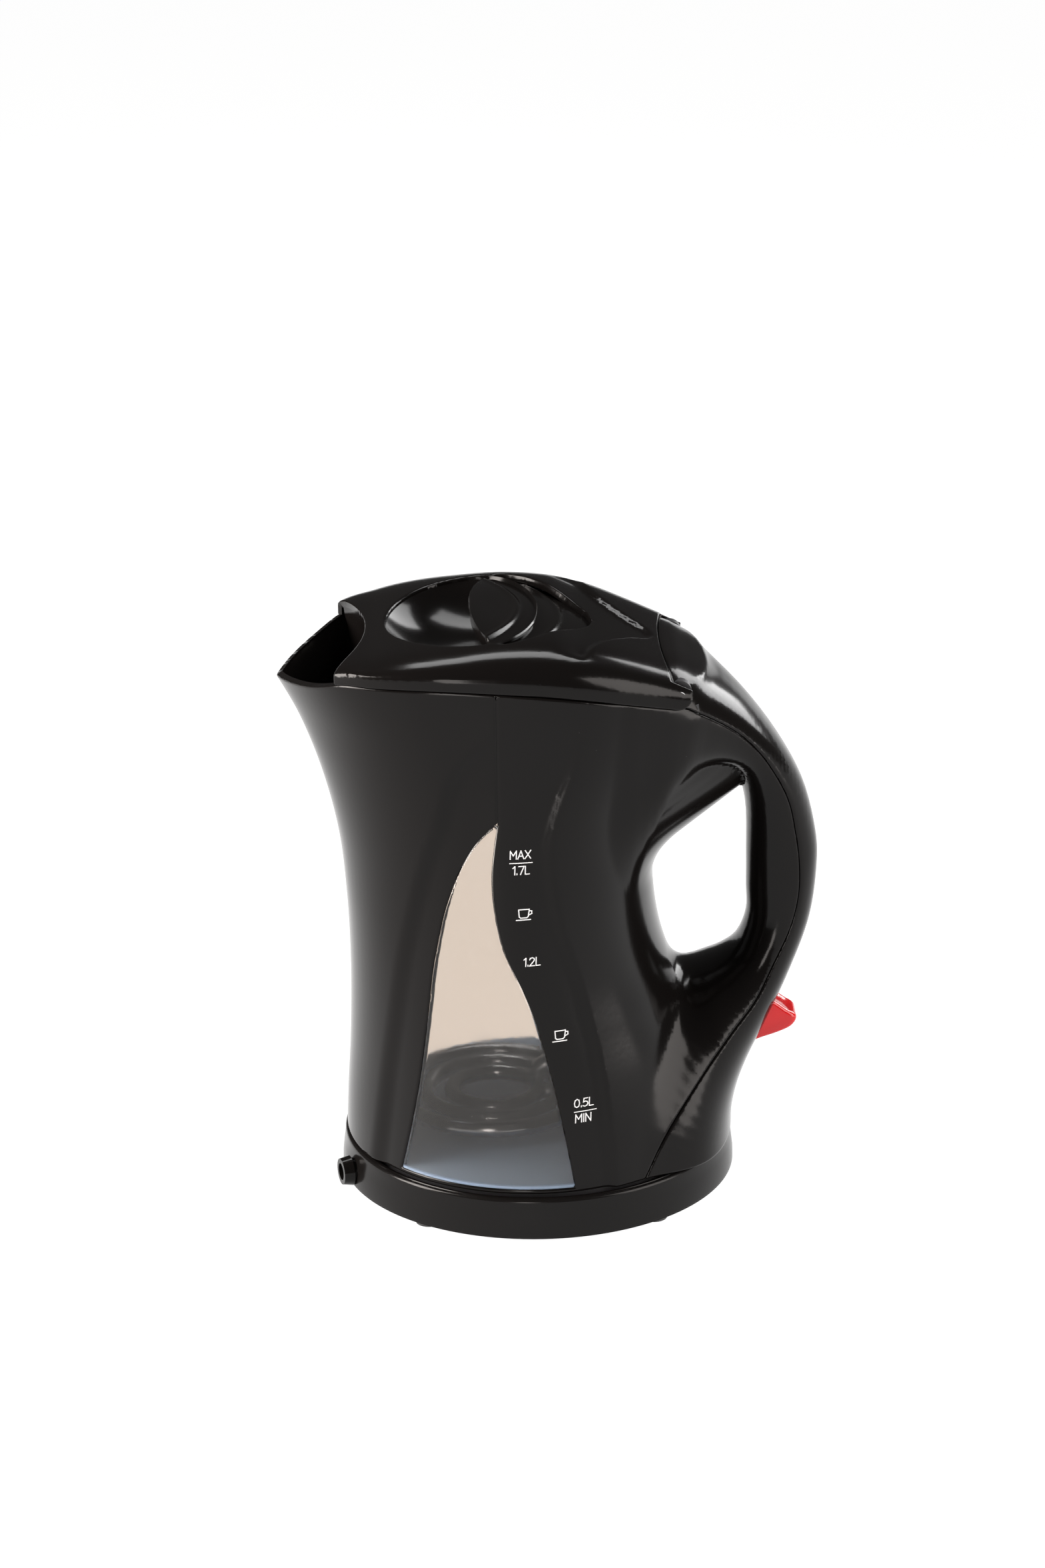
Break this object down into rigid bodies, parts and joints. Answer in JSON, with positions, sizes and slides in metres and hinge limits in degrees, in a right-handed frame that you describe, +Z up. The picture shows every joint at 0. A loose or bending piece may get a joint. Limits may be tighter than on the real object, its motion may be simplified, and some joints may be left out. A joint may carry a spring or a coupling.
{
  "type": "electric kettle",
  "caption": "Cordless jug kettle with a round power base, finned water windows, open loop handle, hinged lid with thumb lever and a red rocker switch.",
  "frame": {"origin": "centre of the whole kettle's plan outline, on the surface it stands on", "axes": "+X towards the handle, +Z up, the spout at -X"},
  "size_m": [0.2092, 0.156, 0.234],
  "materials": {
    "black_gloss": "polished moulded black",
    "inner_plastic": "satin black",
    "window": "clear tinted polypropylene",
    "rubber": "matt",
    "brass": "bright",
    "steel": "plated",
    "element": "nickel plated sheath",
    "red_switch": "polished red",
    "pale_plastic": "satin",
    "lamp": "clear amber"
  },
  "bodies": {
    "power_base": {"base_shell": "black_gloss", "base_plate": "inner_plastic", "foot_1": "rubber", "foot_2": "rubber", "foot_3": "rubber", "foot_4": "rubber", "power_turret": "inner_plastic", "contact_live": "brass", "contact_earth": "brass", "contact_neutral": "brass", "cord_gland": "black_gloss", "cord_clamp": "inner_plastic", "base_screw_1": "steel", "base_screw_2": "steel", "base_screw_3": "steel"},
    "jug": {"jug_shell": "black_gloss", "window_near": "window", "window_far": "window", "jug_bottom_cover": "inner_plastic", "heating_element": "element", "element_flange": "steel", "element_gasket": "rubber", "control_housing": "pale_plastic", "blade_live": "brass", "blade_earth": "brass", "blade_neutral": "brass", "steam_disc": "steel", "steam_duct": "pale_plastic", "indicator_lamp": "lamp", "handle_cover": "black_gloss", "cover_screw_1": "steel", "cover_screw_2": "steel", "control_screw_1": "steel", "control_screw_2": "steel", "switch_pin": "steel", "hinge_carrier": "inner_plastic"},
    "switch": {"switch_rocker": "red_switch"},
    "trip": {"trip_lever": "pale_plastic"},
    "lid": {"lid_shell": "black_gloss", "lid_liner": "inner_plastic", "lid_seal": "rubber", "lid_hinge_pin_1": "steel", "lid_hinge_pin_2": "steel", "lid_screw_1": "steel", "lid_screw_2": "steel", "lever_pin": "steel", "lever_spring": "steel"},
    "lever": {"lid_lever": "black_gloss"},
    "bolt_near": {"latch_near": "inner_plastic"},
    "bolt_far": {"latch_far": "inner_plastic"}
  },
  "joints": [
    {"name": "jug_lift", "type": "slide", "parent": "power_base", "child": "jug", "axis": [0, 0, 1], "range_m": [0, 0.12]},
    {"name": "lid_hinge", "type": "hinge", "parent": "jug", "child": "lid", "pos_m": [0.0488, 0, 0.2095], "axis": [0, 1, 0], "range_deg": [0, 80]},
    {"name": "lid_lever_hinge", "type": "hinge", "parent": "lid", "child": "lever", "pos_m": [0.0098, 0, 0.223], "axis": [0, 1, 0], "range_deg": [0, 12], "stiffness_Nm_per_rad": 0.06, "springref_deg": -14.32},
    {"name": "latch_near_slide", "type": "slide", "parent": "lid", "child": "bolt_near", "axis": [0, 1, 0], "range_m": [0, 0.0042]},
    {"name": "latch_far_slide", "type": "slide", "parent": "lid", "child": "bolt_far", "axis": [0, -1, 0], "range_m": [0, 0.0042]},
    {"name": "switch_hinge", "type": "hinge", "parent": "jug", "child": "switch", "pos_m": [0.0738, 0, 0.06], "axis": [0, 1, 0], "range_deg": [0, 14]},
    {"name": "trip_hinge", "type": "hinge", "parent": "jug", "child": "trip", "pos_m": [0.0612, 0, 0.06], "axis": [0, -1, 0], "range_deg": [0, 14]}
  ],
  "couplings": [
    {"joint": "latch_near_slide", "follows": "lid_lever_hinge", "m_per_rad": 0.0195},
    {"joint": "latch_far_slide", "follows": "lid_lever_hinge", "m_per_rad": 0.0195},
    {"joint": "trip_hinge", "follows": "switch_hinge", "ratio": 0.8}
  ]
}
